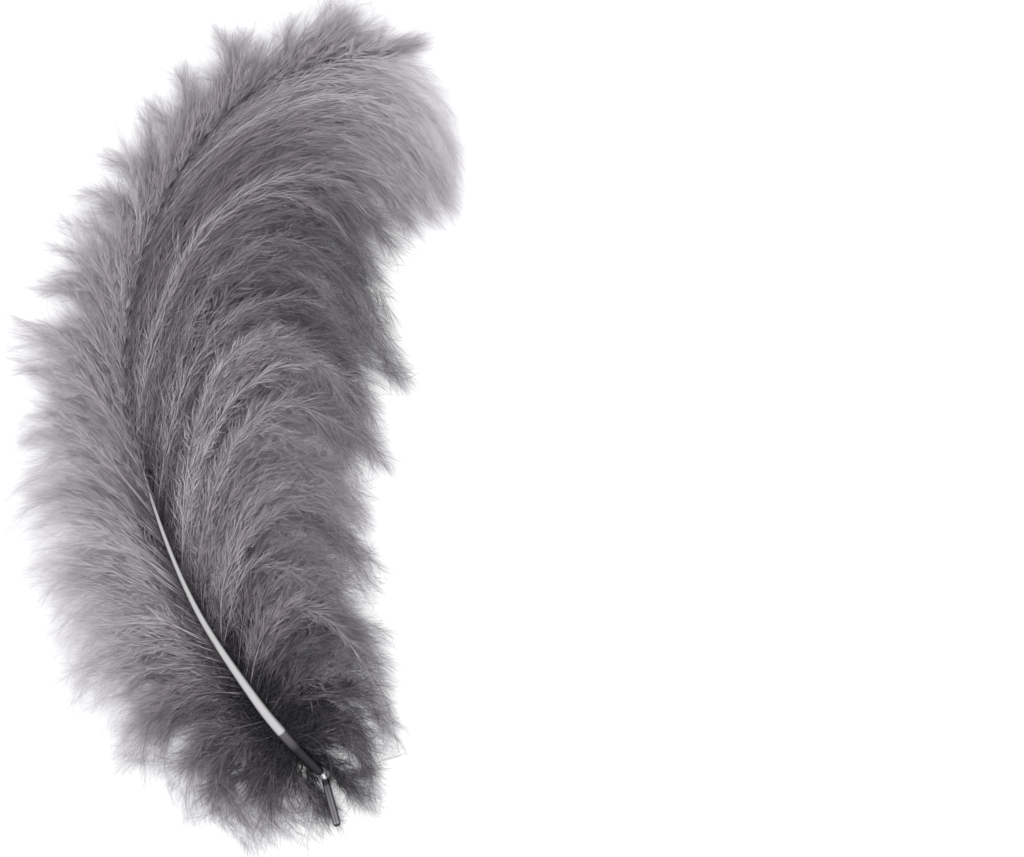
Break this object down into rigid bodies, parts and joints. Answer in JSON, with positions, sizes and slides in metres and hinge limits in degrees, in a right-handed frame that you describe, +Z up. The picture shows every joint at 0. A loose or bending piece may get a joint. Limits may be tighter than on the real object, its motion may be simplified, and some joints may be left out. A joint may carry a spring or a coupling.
{
  "type": "ostrich feather",
  "caption": "Curved, dyed ostrich plume lying on its side: a tapering shaft with a bent quill end, and long soft barbs that curl over at the tip.",
  "frame": {"origin": "on the surface that the plume lies on, in the middle of its outline", "axes": "+Z up from that surface, +Y from the quill towards the tip, +X towards the side that the tip curls to"},
  "size_m": [0.0911, 0.175, 0.0103],
  "materials": {
    "barbs": "matt and downy, dyed a warm mid grey, paler where the barbs thin out",
    "shaft": "satin horn, pale grey along the vanes and dyed nearly black at the quill"
  },
  "bodies": {
    "root": {"feather": "barbs"}
  },
  "joints": []
}
